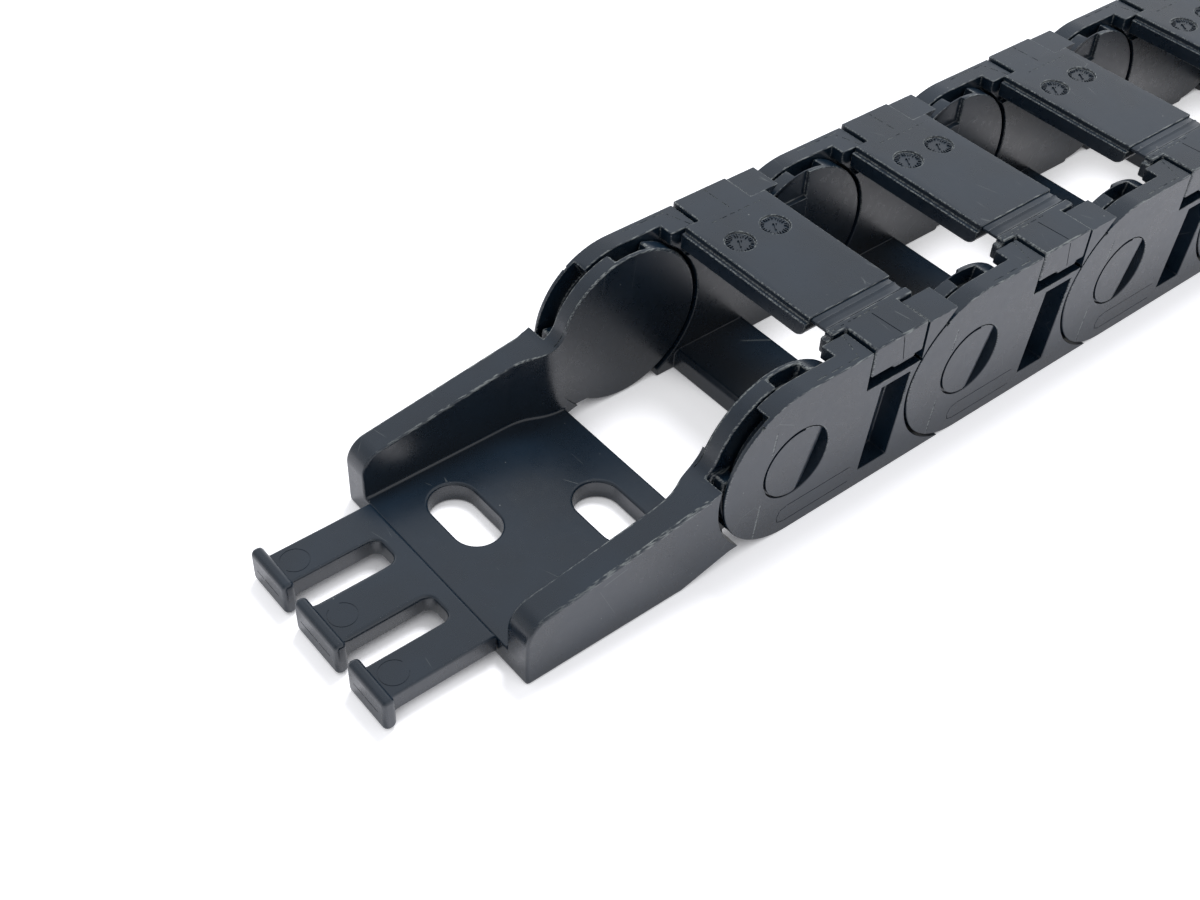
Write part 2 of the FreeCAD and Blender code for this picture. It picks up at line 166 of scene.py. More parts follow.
class Value:
    """A shader socket that takes part in Python arithmetic."""

    def __init__(self, graph, socket):
        self.graph = graph
        self.socket = socket

    def math(self, operation, first, second=0.0):
        return self.graph.add("ShaderNodeMath", {"operation": operation}, {0: first, 1: second})

    def __add__(self, other):
        return self.math("ADD", self, other)

    def __radd__(self, other):
        return self.math("ADD", other, self)

    def __sub__(self, other):
        return self.math("SUBTRACT", self, other)

    def __rsub__(self, other):
        return self.math("SUBTRACT", other, self)

    def __mul__(self, other):
        return self.math("MULTIPLY", self, other)

    def __rmul__(self, other):
        return self.math("MULTIPLY", other, self)

    def __gt__(self, other):
        return self.math("GREATER_THAN", self, other)

    def __lt__(self, other):
        return self.math("LESS_THAN", self, other)

    def either(self, other):
        return self.math("MAXIMUM", self, other)


class Graph:
    """The node tree of one material or world."""

    def __init__(self, owner):
        owner.use_nodes = True
        self.tree = owner.node_tree
        self.tree.nodes.clear()

    def add(self, kind, settings=None, inputs=None, output=0):
        """A node of a type with its settings, then its sockets' values or links."""
        node = self.tree.nodes.new(kind)
        for name, setting in (settings or {}).items():
            setattr(node, name, setting)
        for name, value in (inputs or {}).items():
            if isinstance(value, Value):
                self.tree.links.new(value.socket, node.inputs[name])
            else:
                node.inputs[name].default_value = value
        return Value(self, node.outputs[output]) if node.outputs else None

    def millimetres(self):
        """The object's own coordinates in millimetres, which stay with a piece as it moves."""
        place = self.add("ShaderNodeTexCoord", output="Object")
        return self.add(
            "ShaderNodeVectorMath", {"operation": "SCALE"}, {0: place, "Scale": 1.0 / MM},
            output="Vector")

    def noise(self, place, size, detail=2.0):
        """Noise whose lumps are about size millimetres across."""
        return self.add(
            "ShaderNodeTexNoise", {}, {"Vector": place, "Scale": 1.0 / size, "Detail": detail},
            output="Fac")

    def step(self, value, low, high):
        """0 below low, 1 above high and a smooth ramp between them."""
        return self.add(
            "ShaderNodeMapRange", {"interpolation_type": "SMOOTHSTEP"},
            {"Value": value, "From Min": low, "From Max": high})

    def mix(self, factor, first, second):
        """A colour mixed from two."""
        return self.add(
            "ShaderNodeMix", {"data_type": "RGBA"},
            {"Factor": factor, "A": first, "B": second}, output="Result")

    def stretched(self, place, factors):
        """Coordinates scaled by their own factor along each axis."""
        return self.add(
            "ShaderNodeVectorMath", {"operation": "MULTIPLY"}, {0: place, 1: factors},
            output="Vector")

    def specks(self, place, spacing, radius, share):
        """1 in small specks, which stand in a share of the cells of a spacing, 0 elsewhere."""
        settings = {"feature": "F1"}
        inputs = {"Vector": place, "Scale": 1.0 / spacing}
        distance = self.add("ShaderNodeTexVoronoi", settings, inputs, output="Distance")
        chance = self.add("ShaderNodeTexVoronoi", settings, inputs, output="Color")
        chance = self.add("ShaderNodeSeparateColor", {}, {"Color": chance}, output="Red")
        return (1.0 - self.step(distance, 0.6 * radius / spacing, radius / spacing)) * (
            chance < share)

    def hairlines(self, place, spacing, width):
        """Thin scratches: the borders of large drawn-out cells, kept where noise is high."""
        slanted = self.stretched(place, (1.0, 0.35, 0.6))
        border = self.add(
            "ShaderNodeTexVoronoi", {"feature": "DISTANCE_TO_EDGE"},
            {"Vector": slanted, "Scale": 1.0 / spacing}, output="Distance")
        line = 1.0 - self.step(border, 0.0, width / spacing)
        return line * self.step(self.noise(place, spacing * 0.7), 0.58, 0.66)


def rgba(colour):
    return (*colour, 1.0)


def plastic(name, colours, wear_and_highlight=0.0, sheen=0.30, scuffs=0.0, rubbed_and_lit_above=-5.0):
    """Satin black plastic. wear_and_highlight is how much of it is painted pale, as scuffs and as a
    painted highlight, above a height in millimetres; lower edges stay dark as if in shade.
    """
    material = bpy.data.materials.new(name)
    graph = Graph(material)
    place = graph.millimetres()
    cloud = graph.noise(place, size=9.0, detail=3.0)
    mottle = graph.noise(place, size=1.3, detail=3.0)
    grain = graph.noise(place, size=0.16)
    fine_dust = graph.specks(place, spacing=1.7, radius=0.11, share=0.22)
    coarse_dust = graph.specks(place, spacing=4.3, radius=0.2, share=0.16)
    dust = fine_dust.either(coarse_dust) * graph.step(cloud, 0.42, 0.6)
    lines = graph.hairlines(place, spacing=7.0, width=0.035) * scuffs
    along_edges = graph.stretched(place, (0.25, 1.6, 2.0))
    dashes = graph.noise(along_edges, size=0.35, detail=3.0)
    height = graph.add("ShaderNodeSeparateXYZ", {}, {"Vector": place}, output="Z")
    # Pale dashes along edges: partly scuffs, partly a painted highlight, kept to the upper edges
    # because the lower ones lie in shade
    rubbed_and_highlit = graph.step(dashes, 0.58 - 0.2 * wear_and_highlight, 0.8 - 0.2 * wear_and_highlight) * wear_and_highlight
    rubbed_and_highlit = rubbed_and_highlit * graph.step(height, rubbed_and_lit_above, rubbed_and_lit_above + 4.0)
    base = graph.mix(
        graph.step(cloud, 0.3, 0.7) * 0.5, rgba(colours.plastic),
        rgba([1.7 * channel for channel in colours.plastic]))
    base = graph.mix(rubbed_and_highlit.either(lines * 0.35), base, rgba(colours.worn_and_highlight))
    base = graph.mix(dust * 0.7, base, rgba(colours.dust))
    roughness = (sheen + (mottle - 0.5) * 0.16 + (cloud - 0.5) * 0.12 + (grain - 0.5) * 0.1
                 + dust * 0.3 + lines * 0.1)
    relief = grain * 0.010 + mottle * 0.012 - lines * 0.01
    bump = graph.add(
        "ShaderNodeBump", {}, {"Height": relief, "Strength": 0.5, "Distance": 1.0 * MM},
        output="Normal")
    shader = graph.add(
        "ShaderNodeBsdfPrincipled", {},
        {"Base Color": base, "Roughness": roughness, "Normal": bump, "IOR": 1.7})
    graph.add("ShaderNodeOutputMaterial", {}, {"Surface": shader})
    return material


def finishes():
    """A moulding's finishes, made once: its faces, its edges with scuffs and a painted highlight, its
    dark and its pale fine marks, the pale ones partly a painted highlight.
    """
    names = (
        "moulded_black_plastic", "rubbed_and_highlit_plastic_edge", "parting_line_plastic", "pale_highlit_line_plastic")
    if names[0] in bpy.data.materials:
        return [bpy.data.materials[name] for name in names]
    colours = bpy.context.scene.chain_colours
    return [
        plastic(names[0], colours, scuffs=1.0),
        plastic(names[1], colours, wear_and_highlight=0.8, rubbed_and_lit_above=8.0),
        plastic(names[2], colours, sheen=0.36),
        plastic(names[3], colours, wear_and_highlight=1.0, sheen=0.36),
    ]


# Mesh tools


def linked(name, mesh):
    piece = bpy.data.objects.new(name, mesh)
    bpy.context.scene.collection.objects.link(piece)
    return piece


def flat_regions(solid, limit):
    """A label for each face, the same for faces that lie in one plane and touch."""
    label = list(range(len(solid.faces)))

    def root(index):
        while label[index] != index:
            label[index] = label[label[index]]
            index = label[index]
        return index

    for edge in solid.edges:
        if len(edge.link_faces) == 2 and edge.calc_face_angle(math.pi) < limit:
            first, second = (root(face.index) for face in edge.link_faces)
            label[max(first, second)] = min(first, second)
    return [root(index) for index in range(len(label))]


def outlines(faces):
    """The closed outlines of a flat region, each a list of vertices."""
    inside = set(faces)
    border = {
        loop: None for face in faces for loop in face.loops
        if loop.link_loop_radial_next.face not in inside}
    waiting = dict(border)
    found = []
    while waiting:
        loop = next(iter(waiting))
        outline = []
        while loop in waiting:
            del waiting[loop]
            outline.append(loop.vert)
            loop = loop.link_loop_next
            while loop not in border:
                loop = loop.link_loop_radial_next.link_loop_next
        found.append(outline)
    return found


def whole_faces(faces):
    """Faces that fill a flat region, as lists of vertices: one, or a few where it has holes."""
    found = outlines(faces)
    if len(found) == 1:
        return found
    normal = sum((face.normal * face.calc_area() for face in faces), Vector())
    across = normal.orthogonal().normalized()
    up = normal.normalized().cross(across)
    verts = [vert for outline in found for vert in outline]
    flat = [Vector((vert.co.dot(across), vert.co.dot(up))) for vert in verts]
    numbered = []
    count = 0
    for outline in found:
        numbered.append(list(range(count, count + len(outline))))
        count += len(outline)
    without_holes, nearness = 5, 1e-5
    _, _, filled, origins, _, _ = delaunay_2d_cdt(flat, [], numbered, without_holes, nearness)
    return [[verts[origins[index][0]] for index in face] for face in filled]


def from_cad(name, node):
    """A piece that starts as a CAD node's mesh: welded, in millimetres, with flat faces whole."""
    weld_distance = 0.002
    solid = bmesh.new()
    solid.from_mesh(frame["nodes"][node].data)
    bmesh.ops.scale(solid, vec=(1.0 / MM,) * 3, verts=solid.verts)
    bmesh.ops.remove_doubles(solid, verts=solid.verts, dist=weld_distance)
    solid.normal_update()
    solid.faces.ensure_lookup_table()
    solid.verts.index_update()
    solid.faces.index_update()
    regions = {}
    for face, label in zip(solid.faces, flat_regions(solid, weld_turn)):
        regions.setdefault(label, []).append(face)
    whole = bmesh.new()
    verts = [whole.verts.new(vert.co) for vert in solid.verts]
    for faces in regions.values():
        for corners in whole_faces(faces):
            whole.faces.new([verts[corner.index] for corner in corners])
    solid.free()
    loose = [vert for vert in whole.verts if not vert.link_faces]
    bmesh.ops.delete(whole, geom=loose, context="VERTS")
    bmesh.ops.recalc_face_normals(whole, faces=whole.faces)
    mesh = bpy.data.meshes.new(name)
    whole.to_mesh(mesh)
    whole.free()
    for finish in finishes():
        mesh.materials.append(finish)
    return linked(name, mesh)


def applied(piece):
    """The piece with its modifiers applied."""
    bpy.context.view_layer.update()
    graph = bpy.context.evaluated_depsgraph_get()
    mesh = bpy.data.meshes.new_from_object(piece.evaluated_get(graph))
    piece.modifiers.clear()
    piece.data = mesh
    mesh.name = piece.name
    return piece


def room_beside(edge, face, outline):
    """How far a flat face reaches from one of its edges, to its outline's next edge."""
    endless, touching = 1e9, 1e-3
    loop = next(side for side in face.loops if side.edge == edge)
    start = loop.vert.co
    run = loop.link_loop_next.vert.co - start
    along = run.normalized()
    inward = np.array(face.normal.cross(along))
    along = np.array(along)
    room = endless
    for share in (0.12, 0.5, 0.88):
        origin = np.array(start + run * share)
        from_along, from_inward = ((outline[:, 0] - origin) @ way for way in (along, inward))
        to_along, to_inward = ((outline[:, 1] - origin) @ way for way in (along, inward))
        step = to_along - from_along
        crosses = (from_along * to_along <= 0.0) & (np.abs(step) > 1e-9)
        rise = (to_inward - from_inward)[crosses] * (-from_along[crosses]) / step[crosses]
        hit = from_inward[crosses] + rise
        hit = hit[hit > touching]
        if len(hit):
            room = min(room, hit.min())
    return room


def edge_widths(solid, width):
    """For each sharp edge, how far it can be rounded before it meets another edge."""
    share_of_room = 0.42
    labels = flat_regions(solid, straight_turn)
    borders = {}
    for edge in solid.edges:
        faces = edge.link_faces
        if len(faces) == 2 and labels[faces[0].index] != labels[faces[1].index]:
            for face in faces:
                ends = (tuple(edge.verts[0].co), tuple(edge.verts[1].co))
                borders.setdefault(labels[face.index], []).append(ends)
    borders = {key: np.array(ends) for key, ends in borders.items()}
    widths = {}
    for edge in solid.edges:
        if len(edge.link_faces) == 2 and edge.calc_face_angle(0.0) > rounding_turn:
            rooms = [
                room_beside(edge, face, borders[labels[face.index]]) for face in edge.link_faces]
            widths[edge] = min(width, share_of_room * min(rooms))
    evened(widths)
    return widths


def evened(widths):
    """Evens the widths of edges that run on into each other, so that no rounding folds over."""
    largest_step, nearly_square, settled = 0.3, 1.5, 1e-4
    steps = {}
    for edge in widths:
        for vert in edge.verts:
            run = (edge.other_vert(vert).co - vert.co).normalized()
            for other in vert.link_edges:
                if other is edge or other not in widths:
                    continue
                turn = math.pi - run.angle((other.other_vert(vert).co - vert.co).normalized(), 0.0)
                if turn < straight_turn:
                    widths[edge] = min(widths[edge], widths[other])
                else:
                    room = min(edge.calc_length(), other.calc_length())
                    step = largest_step * room * math.sin(min(turn, nearly_square))
                    steps.setdefault(edge, []).append((other, step))
    changed = True
    while changed:
        changed = False
        for edge, others in steps.items():
            limit = min(widths[other] + step for other, step in others)
            if widths[edge] > limit + settled:
                widths[edge] = limit
                changed = True


def split_near_ends(solid):
    """Splits long sharp edges near both ends, so that their rounding can narrow there."""
    reach = 0.9
    for edge in list(solid.edges):
        if edge.calc_face_angle(0.0) < rounding_turn or edge.calc_length() < 3.0 * reach:
            continue
        parts = [edge]
        for corner in list(edge.verts):
            part = next(part for part in parts if corner in part.verts)
            made, _ = bmesh.utils.edge_split(part, corner, reach / part.calc_length())
            parts = sorted((part, made), key=lambda half: half.calc_length())[1:]


def rounded(piece, width, steps):
    """Rounds the piece's sharp edges. The rounding takes the edge finish, with its scuffs and painted
    highlight.
    """
    narrowest = 0.03
    solid = bmesh.new()
    solid.from_mesh(piece.data)
    solid.normal_update()
    split_near_ends(solid)
    solid.faces.ensure_lookup_table()
    solid.faces.index_update()
    weight = solid.edges.layers.float.new("bevel_weight_edge")
    for edge, own in edge_widths(solid, width).items():
        edge[weight] = own / width if own > narrowest else 0.0
    solid.to_mesh(piece.data)
    solid.free()
    modifier = piece.modifiers.new("round", "BEVEL")
    modifier.limit_method = "WEIGHT"
    modifier.width = width
    modifier.segments = steps
    modifier.use_clamp_overlap = False
    modifier.loop_slide = False
    modifier.material = EDGE
    return applied(piece)


def prism(points, low, high, axis, finish=MARK):
    """A closed prism: its outline in the other two axes, from low to high along its own axis."""
    places = {"X": (1, 2, 0), "Y": (0, 2, 1), "Z": (0, 1, 2)}[axis]
    count = len(points)
    corners = []
    for level in (low, high):
        for first, second in points:
            corner = [0.0, 0.0, 0.0]
            corner[places[0]], corner[places[1]], corner[places[2]] = first, second, level
            corners.append(corner)
    faces = [tuple(range(count)), tuple(range(2 * count - 1, count - 1, -1))]
    for index in range(count):
        following = (index + 1) % count
        faces.append((following, index, index + count, following + count))
    return corners, faces, finish


def strip(start, end, width, low, high, axis, finish=MARK):
    """A straight strip of a width between two points of a plane."""
    first, last = Vector(start), Vector(end)
    side = (last - first).normalized().orthogonal() * width / 2.0
    points = [first - side, last - side, last + side, first + side]
    return prism([tuple(point) for point in points], low, high, axis, finish)


def strips(points, width, low, high, axis, finish=MARK):
    """Strips along a line of several points, each short of its corners so that none overlap."""
    made = []
    for start, end in zip(points, points[1:]):
        first, last = Vector(start), Vector(end)
        back_off = (last - first).normalized() * width * 0.5
        made.append(strip(first + back_off, last - back_off, width, low, high, axis, finish))
    return made


def ring(centre, radius, width, low, high, axis, keep=1.0, steps=40, start_turn=0.0, finish=MARK):
    """A thin ring, or a share of it, as a prism. Its ends never touch."""
    nearly_whole = 0.995
    points = []
    count = max(3, round(steps * keep))
    sweep = 2.0 * math.pi * min(keep, nearly_whole) / count
    for reach, order in ((radius + width / 2.0, range(count + 1)),
                         (radius - width / 2.0, range(count, -1, -1))):
        for step in order:
            angle = start_turn + sweep * step
            points.append((centre[0] + reach * math.cos(angle),
                           centre[1] + reach * math.sin(angle)))
    return prism(points, low, high, axis, finish)


def broken(start, end, width, low, high, axis, seed, longest=2.2, gap=0.9, finish=PALE):
    """A broken line: dashes of uneven length between two points of a plane."""
    chance = random.Random(seed)
    first, last = Vector(start), Vector(end)
    whole = (last - first).length
    along = (last - first) / whole
    made = []
    place = 0.0
    while place < whole:
        reach = min(whole, place + chance.uniform(0.25, 1.0) * longest)
        if reach - place > 2.0 * width:
            made.append(strip(
                first + along * place, first + along * reach, width, low, high, axis, finish))
        place = reach + chance.uniform(0.3, 1.0) * gap
    return made


def dashes_on_top(start, end, top, sizes, seed, longest=2.2):
    """A broken parting line on a level face, painted pale, partly as a painted highlight."""
    return broken(
        start, end, sizes.line_width, top - sizes.line_depth, top + overshoot, "Z", seed, longest)


def mirrored(solids):
    """The same solids on the other side of the chain."""
    made = []
    for corners, faces, finish in solids:
        turned = [(x, -y, z) for x, y, z in corners]
        made.append((turned, [tuple(reversed(face)) for face in faces], finish))
    return made


def gathered(name, solids, shift=0.0):
    """One mesh object of several closed solids, moved along X."""
    whole = bmesh.new()
    for corners, faces, finish in solids:
        verts = [whole.verts.new(Vector(corner) + Vector((shift, 0, 0))) for corner in corners]
        for face in faces:
            made = whole.faces.new([verts[index] for index in face])
            made.material_index = finish
    bmesh.ops.recalc_face_normals(whole, faces=whole.faces)
    mesh = bpy.data.meshes.new(name)
    whole.to_mesh(mesh)
    whole.free()
    return linked(name, mesh)


def combined(piece, solids, operation, shift=0.0):
    """The piece with solids cut from it or added to it."""
    tool = gathered(piece.name + "_tool", solids, shift)
    for finish in finishes():
        tool.data.materials.append(finish)
    modifier = piece.modifiers.new("carve", "BOOLEAN")
    modifier.operation = operation
    modifier.solver = "EXACT"
    modifier.object = tool
    applied(piece)
    bpy.data.objects.remove(tool)
    return piece


def handed_over(piece, body, node):
    """Brings a finished piece to metres, smooths it and puts it in the CAD node's place."""
    piece.data.transform(Matrix.Scale(MM, 4))
    piece.data.polygons.foreach_set("use_smooth", [True] * len(piece.data.polygons))
    piece.data.set_sharp_from_angle(angle=shading_turn)
    modifier = piece.modifiers.new("flat faces stay flat", "WEIGHTED_NORMAL")
    modifier.keep_sharp = True
    modifier.weight = 80
    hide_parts(node)
    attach(piece, body)
    return piece


def along_chain(model, name, body, node):
    """Copies of link 1's finished piece for every link, each in its own place."""
    for number in range(2, link_count + 1):
        mesh = model.data.copy()
        mesh.transform(Matrix.Translation((pitch * (number - 1), 0, 0)))
        handed_over(linked(name % number, mesh), body % number, node % number)
    handed_over(model, body % 1, node % 1)


# Pieces


def wall_marks(sizes):
    """The fine lines on the near outer face and the top of a link's wall."""
    width, depth = sizes.line_width, sizes.line_depth
    low, high = -half_width - overshoot, -half_width + depth
    faint = -half_width + 0.3 * depth
    foot, head = Vector((-5.75, 1.5)), Vector((-4.1, 18.3))
    lower, upper = foot.lerp(head, 0.34), foot.lerp(head, 0.80)
    # The witness line is a mould flow line painted pale as a painted highlight
    marks = [
        strip(foot, lower, 2.0 * width, low, faint, "Y", PALE),
        strip(upper, head, 2.0 * width, low, faint, "Y", PALE),
    ]
    label_end, label_foot, label_head = 10.5, 1.7, 4.2
    label = [
        (label_end, label_foot), (-0.6, label_foot), (-1.7, 2.0), (-1.9, 2.9),
        (-1.5, 3.9), (-0.4, label_head), (label_end, label_head)]
    marks += strips(label, 0.8 * width, low, high, "Y")
    marks += dashes_on_top((10.0, -13.4), (8.9, -16.9), wall_top, sizes, seed=3)
    marks += dashes_on_top((2.0, -17.3), (9.2, -17.3), wall_top, sizes, seed=5)
    return marks


def flange_line(pivot_x, sizes):
    """The parting line round the rim of an inner flange, painted pale, partly as a painted highlight.
    """
    radius = flange_radius + 0.5 * overshoot - 0.5 * sizes.line_depth
    line_outer, line_inner = -13.1, -12.98
    return ring(
        (pivot_x, pivot_height), radius, overshoot, line_outer, line_inner, "Y",
        keep=0.2, steps=120, start_turn=math.radians(101.5), finish=PALE)


def boss_groove(pivot_x):
    """The dark groove round the level side of a pivot boss."""
    groove_radius, groove_width, groove_depth = 5.1, 0.4, 0.5
    return ring(
        (pivot_x, pivot_height), groove_radius, groove_width,
        -half_width - overshoot, -half_width + groove_depth, "Y",
        keep=0.54, steps=100, start_turn=math.radians(82.0))


def rim_nick():
    """The small notch in the rim of an outer disc, where its mould insert ends."""
    nick_depth, nick_width, nick_reach = 0.25, 0.5, 0.35
    centre = Vector((0.0, pivot_height))
    out = (Vector((-6.2, 19.9)) - centre).normalized()
    foot = centre + out * (disc_radius - nick_depth)
    tip = centre + out * (disc_radius + overshoot)
    return strip(
        foot, tip, nick_width, -half_width - overshoot, -half_width + nick_reach, "Y", EDGE)


def curved_ramps(piece, pivot_x):
    """Bends the flat ramp of each pivot boss: gentle at its crease, steeper towards its foot."""
    ramp_cuts = 8
    steepest, flattest = 0.8, 0.99
    even_part, growing_part = 0.35, 0.65
    solid = bmesh.new()
    solid.from_mesh(piece.data)
    solid.normal_update()
    axis = Vector((first_pivot + pivot_x, 0.0, pivot_height))
    for side in (-1, 1):
        ramp = []
        for face in solid.faces:
            away = face.calc_center_median() - axis
            near = math.hypot(away.x, away.z) < boss_radius and away.y * side > 0.0
            if near and steepest < face.normal.y * side < flattest:
                ramp.append(face)
        downhill = Vector((ramp[0].normal.x, 0.0, ramp[0].normal.z)).normalized()
        verts = {vert for face in ramp for vert in face.verts}
        places = [vert.co.dot(downhill) for vert in verts]
        heights = [vert.co.y * side for vert in verts]
        start, run = min(places), max(places) - min(places)
        top, drop = max(heights), max(heights) - min(heights)
        for cut in range(1, ramp_cuts):
            edges = {edge for face in ramp for edge in face.edges}
            corners = {vert for face in ramp for vert in face.verts}
            made = bmesh.ops.bisect_plane(
                solid, geom=[*ramp, *edges, *corners], dist=1e-5,
                plane_co=downhill * (start + run * cut / ramp_cuts), plane_no=downhill)
            ramp = [part for part in made["geom"] if isinstance(part, bmesh.types.BMFace)]
        for vert in {vert for face in ramp for vert in face.verts}:
            share = (vert.co.dot(downhill) - start) / run
            vert.co.y = side * (top - drop * (even_part * share + growing_part * share ** 2))
    solid.to_mesh(piece.data)
    solid.free()
    return piece


def dress_link_body():
    """Link 1's body: rounded edges, grooves, a nick in each rim, fine lines, a bare label frame."""
    sizes = bpy.context.scene.chain_sizes
    piece = rounded(
        curved_ramps(from_cad("link_1_moulding", "link_1_body"), pitch),
        sizes.edge_round, sizes.round_steps)
    marks = wall_marks(sizes) + [rim_nick(), flange_line(pitch, sizes), boss_groove(pitch)]
    return combined(piece, marks + mirrored(marks), "DIFFERENCE", first_pivot)


def dress_hinge_block():
    """Link 1's hinge block with the parting lines round its shoulder."""
    sizes = bpy.context.scene.chain_sizes
    width, depth = sizes.line_width, sizes.line_depth
    piece = rounded(
        from_cad("link_1_hinge_end", "link_1_hinge_block"), sizes.block_round, sizes.round_steps)
    marks = [
        strip(
            (16.5, block_bottom + 3.0), (15.7, bar_top - 0.35), width,
            -half_width - overshoot, -half_width + depth, "Y"),
        strip(
            (15.65, -half_width + 0.4), (15.35, -12.9), width,
            bar_top - depth, bar_top + overshoot, "Z"),
    ]
    marks += dashes_on_top((9.2, -12.4), (17.6, -12.4), bar_top, sizes, seed=8, longest=1.4)
    return combined(piece, marks, "DIFFERENCE", first_pivot)


def clock_marks(centre, radius, floor, seed):
    """What stands in a round mould date mark: short radial ticks and an arrow."""
    ticks, tick_width, tick_height, sunk = 24, 0.12, 0.17, 0.1
    chance = random.Random(seed)
    low, high = floor - sunk, floor + tick_height
    marks = []
    for index in range(ticks):
        angle = 2.0 * math.pi * (index + chance.uniform(-0.2, 0.2)) / ticks
        out = Vector((math.cos(angle), math.sin(angle)))
        inner = radius * chance.uniform(0.58, 0.74)
        outer = radius * chance.uniform(0.84, 0.93)
        marks.append(strip(
            centre + out * inner, centre + out * outer, tick_width, low, high, "Z"))
    heading = Vector((0.55, 0.83)).normalized()
    side = Vector((-heading.y, heading.x))
    tail, neck, tip = centre - heading * 0.85, centre + heading * 0.35, centre + heading * 0.8
    shaft, barb = side * 0.08, side * 0.3
    arrow = [
        tail - shaft, neck - shaft, neck - barb, tip, neck + barb, neck + shaft, tail + shaft]
    marks.append(prism([tuple(point) for point in arrow], low, high, "Z"))
    return marks


def dress_crossbar():
    """Link 1's crossbar with its fine lines and what stands in its two date marks."""
    sizes = bpy.context.scene.chain_sizes
    width, depth = sizes.line_width, sizes.line_depth
    piece = rounded(
        from_cad("crossbar_1_moulding", "link_1_crossbar"), sizes.edge_round, sizes.round_steps)
    marks = dashes_on_top((12.0, 11.6), (20.6, 11.6), bar_top, sizes, seed=11, longest=1.2)
    marks += dashes_on_top((16.0, 12.9), (15.9, half_width - 0.5), bar_top, sizes, seed=12)
    marks.append(strip(
        (16.4, bar_top - 3.6), (15.8, bar_top - 0.35), width,
        half_width - depth, half_width + overshoot, "Y"))
    combined(piece, marks, "DIFFERENCE", first_pivot)
    raised = []
    for seed, place in enumerate(date_mark_places, 21):
        raised += clock_marks(Vector(place), date_mark_radius, bar_top - date_mark_depth, seed)
    return combined(piece, raised, "UNION", first_pivot)


def dress_film_hinge():
    """Link 1's film hinge: a thin strip with two low ribs along the chain."""
    rows, middle_columns, end_strip = 25, 6, 0.25
    rib_height, groove_depth, end_chamfer = 0.14, 0.05, 0.12
    solid = bmesh.new()
    length = film_high.x - film_low.x
    places = [film_low.x, film_low.x + end_strip]
    places += [film_low.x + length * k / middle_columns for k in range(1, middle_columns)]
    places += [film_high.x - end_strip, film_high.x]
    last_row, last_column = rows - 1, len(places) - 1
    grid = {}
    for row in range(rows):
        y = film_low.y + (film_high.y - film_low.y) * row / last_row
        middle_rib = math.exp(-((y - hinge_y - 0.1) / 0.14) ** 2)
        block_rib = 0.8 * math.exp(-((y - film_low.y) / 0.16) ** 2)
        groove = math.exp(-((y - film_high.y) / 0.12) ** 2)
        level = film_high.z + rib_height * max(middle_rib, block_rib) - groove_depth * groove
        for column, x in enumerate(places):
            drop = end_chamfer if column in (0, last_column) else 0.0
            grid[row, column, 1] = solid.verts.new((x + first_pivot, y, level - drop))
            grid[row, column, 0] = solid.verts.new((x + first_pivot, y, film_low.z + drop))
    for row in range(last_row):
        for column in range(last_column):
            for side in (0, 1):
                solid.faces.new([
                    grid[row, column, side], grid[row, column + 1, side],
                    grid[row + 1, column + 1, side], grid[row + 1, column, side]])
        for column in (0, last_column):
            solid.faces.new([
                grid[row, column, 0], grid[row + 1, column, 0],
                grid[row + 1, column, 1], grid[row, column, 1]])
    for column in range(last_column):
        for row in (0, last_row):
            solid.faces.new([
                grid[row, column, 0], grid[row, column + 1, 0],
                grid[row, column + 1, 1], grid[row, column, 1]])
    bmesh.ops.recalc_face_normals(solid, faces=solid.faces)
    mesh = bpy.data.meshes.new("film_strip")
    solid.to_mesh(mesh)
    solid.free()
    for finish in finishes():
        mesh.materials.append(finish)
    return mesh


def dress_bracket(name, node, has_bosses):
    """A mounting bracket with soft edges, and with grooves and fine lines if it has bosses."""
    sizes = bpy.context.scene.chain_sizes
    if not has_bosses:
        return rounded(from_cad(name, node), sizes.soft_round, sizes.round_steps + 1)
    piece = rounded(
        curved_ramps(from_cad(name, node), 0.0), sizes.soft_round, sizes.round_steps + 1)
    marks = [flange_line(0.0, sizes), boss_groove(0.0)]
    return combined(piece, marks + mirrored(marks), "DIFFERENCE", first_pivot)


def comb_marks(sizes, sign):
    """Ejector rings on the teeth and parting lines on the heads. X counts from the end pivot."""
    width, depth = sizes.line_width, sizes.line_depth
    ring_x, ring_radius, ring_width, ring_depth = 51.6, 1.75, 0.1, 0.05
    plain_end = 1.3
    tip = max(abs(comb_low.x), abs(comb_high.x))
    middle = (comb_low.z + comb_high.z) / 2.0
    marks = []
    for (head_low, head_high), turn in zip(comb_heads, (0.4, 2.1, 3.6)):
        centre = (sign * ring_x, (head_low + head_high) / 2.0)
        marks.append(ring(
            centre, ring_radius, ring_width, comb_top - ring_depth, comb_top + overshoot, "Z",
            keep=0.86, start_turn=turn))
        ends = sorted((sign * (tip - depth), sign * (tip + overshoot)))
        marks += broken(
            (head_low + plain_end, middle), (head_high - plain_end, middle), width,
            ends[0], ends[1], "X", seed=round(turn * 10), longest=6.0, gap=0.3, finish=MARK)
    return marks


def dress_comb(name, node, pivot, sign):
    """A strain relief comb with its fine marks. They come first, and then its edges are rounded."""
    sizes = bpy.context.scene.chain_sizes
    piece = combined(from_cad(name, node), comb_marks(sizes, sign), "DIFFERENCE", pivot)
    return rounded(piece, 1.5 * sizes.soft_round, sizes.round_steps + 1)


# Operators


class DRAGCHAIN_OT_link_bodies(bpy.types.Operator):
    """Dress the bodies of all links"""
    bl_idname = "dragchain.link_bodies"
    bl_label = "Link Bodies"

    def execute(self, context):
        along_chain(dress_link_body(), "link_%d_moulding", "link_%d", "link_%d_body")
        return {"FINISHED"}


